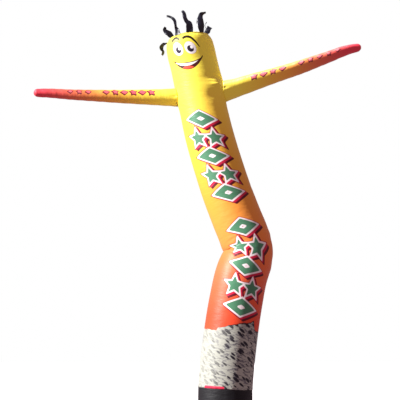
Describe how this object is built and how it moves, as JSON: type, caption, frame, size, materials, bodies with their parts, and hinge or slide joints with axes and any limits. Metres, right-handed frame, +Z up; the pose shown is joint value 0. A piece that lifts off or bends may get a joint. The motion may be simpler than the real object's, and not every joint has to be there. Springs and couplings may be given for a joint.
{
  "type": "inflatable air dancer",
  "caption": "Tall blown-up cloth tube with a kinked knee, two tapered arms, a domed head with ribbon hair and a black collar at its foot.",
  "frame": {"origin": "centre of the collar's rim, on the ground", "axes": "+Z up; +X to the right as seen from the front, towards the raised arm; +Y to the back"},
  "size_m": [3.0818, 0.5104, 3.571],
  "materials": {
    "collar_cloth": "matt coated nylon",
    "printed_cloth": "dye-printed rip-stop nylon, slight sheen",
    "arm_cloth": "dye-printed rip-stop nylon, slight sheen",
    "ribbon_cloth": "glossy black nylon"
  },
  "bodies": {
    "root": {"collar": "collar_cloth", "body_tube": "printed_cloth", "head_cap": "printed_cloth", "arm_left": "arm_cloth", "arm_right": "arm_cloth", "hair_front_left": "ribbon_cloth", "hair_front_middle": "ribbon_cloth", "hair_front_right": "ribbon_cloth", "hair_side_right": "ribbon_cloth", "hair_back_right": "ribbon_cloth", "hair_behind_right": "ribbon_cloth", "hair_behind_left": "ribbon_cloth", "hair_back_left": "ribbon_cloth", "hair_side_left": "ribbon_cloth"}
  },
  "joints": []
}
